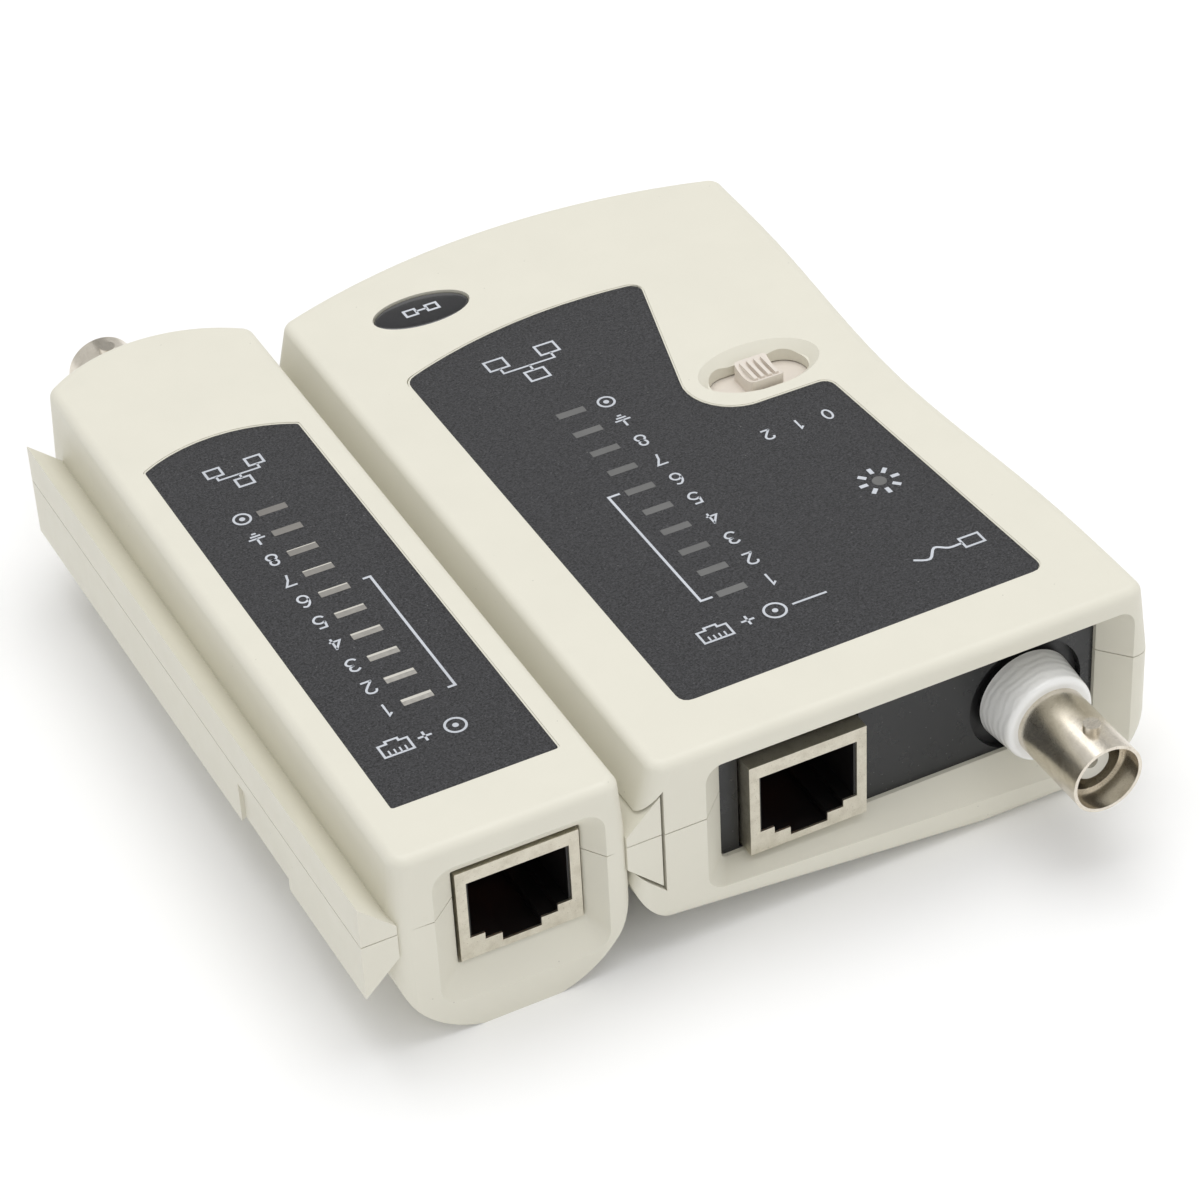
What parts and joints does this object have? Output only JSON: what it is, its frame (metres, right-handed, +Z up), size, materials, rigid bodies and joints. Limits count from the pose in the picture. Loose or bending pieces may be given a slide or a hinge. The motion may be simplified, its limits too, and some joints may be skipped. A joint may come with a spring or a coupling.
{
  "type": "network cable tester",
  "caption": "Two-part network cable tester: a wide master unit with a narrow remote unit docked on a dovetail rail, each with a modular socket and a bayonet coaxial socket.",
  "frame": {"origin": "bottom centre of the bounding box, on the surface that the tester rests on", "axes": "+Z up through the label faces, -Y towards the end with the modular sockets, +X from the remote unit towards the master unit"},
  "size_m": [0.1076, 0.1436, 0.029],
  "materials": {
    "ivory_plastic": "fine moulded texture",
    "label_film": "printed film with a leather-like grain",
    "badge_gloss": "clear gloss dome",
    "led_window": "diffusing resin",
    "switch_ivory": "moulded",
    "switch_frame": "plated",
    "panel_grey": "moulded",
    "tinned_steel": "tin plated and lightly scratched",
    "insert_black": "moulded",
    "contact_gold": "gold flash",
    "nickel_plate": "bright nickel",
    "washer_black": "moulded",
    "collar_white": "glossy moulded",
    "dielectric_white": "waxy",
    "board_green": "solder resist",
    "chip_black": "epoxy",
    "resistor_body": "lacquered",
    "diode_body": "epoxy",
    "capacitor_sleeve": "shrink sleeve",
    "battery_case": "lacquered case",
    "snap_black": "soft vinyl",
    "wire_red": "insulation",
    "wire_black": "insulation",
    "screw_steel": "zinc plated"
  },
  "bodies": {
    "master": {"master_top_shell": "ivory_plastic", "master_bottom_shell": "ivory_plastic", "master_label": "label_film", "badge": "badge_gloss", "master_leds": "led_window", "power_led": "led_window", "switch_body": "switch_frame", "end_panel": "panel_grey", "master_jack_shield": "tinned_steel", "master_jack_insert": "insert_black", "master_jack_contacts": "contact_gold", "master_bnc_barrel": "nickel_plate", "master_bnc_collar": "collar_white", "master_bnc_washer": "washer_black", "master_bnc_nut": "nickel_plate", "master_bnc_core": "dielectric_white", "master_bnc_pin": "contact_gold", "master_board": "board_green", "counter_chip": "chip_black", "timer_chip": "chip_black", "resistors": "resistor_body", "capacitors": "capacitor_sleeve", "battery": "battery_case", "battery_snap": "snap_black", "battery_lead_red": "wire_red", "battery_lead_black": "wire_black", "master_screws": "screw_steel"},
    "switch": {"switch_knob": "switch_ivory", "switch_stem": "switch_ivory"},
    "battery_door": {"battery_door": "ivory_plastic"},
    "remote": {"remote_top_shell": "ivory_plastic", "remote_bottom_shell": "ivory_plastic", "remote_label": "label_film", "remote_leds": "led_window", "remote_board": "board_green", "remote_diodes": "diode_body", "remote_jack_shield": "tinned_steel", "remote_jack_insert": "insert_black", "remote_jack_contacts": "contact_gold", "remote_bnc_barrel": "nickel_plate", "remote_bnc_collar": "collar_white", "remote_bnc_washer": "washer_black", "remote_bnc_nut": "nickel_plate", "remote_bnc_core": "dielectric_white", "remote_bnc_pin": "contact_gold", "remote_screws": "screw_steel"}
  },
  "joints": [
    {"name": "remote_slide", "type": "slide", "parent": "master", "child": "remote", "axis": [0, -1, 0], "range_m": [0, 0.108]},
    {"name": "switch_slide", "type": "slide", "parent": "master", "child": "switch", "axis": [1, 0, 0], "range_m": [-0.0022, 0.0022]},
    {"name": "door_slide", "type": "slide", "parent": "master", "child": "battery_door", "axis": [0, 1, 0], "range_m": [0, 0.042]}
  ]
}
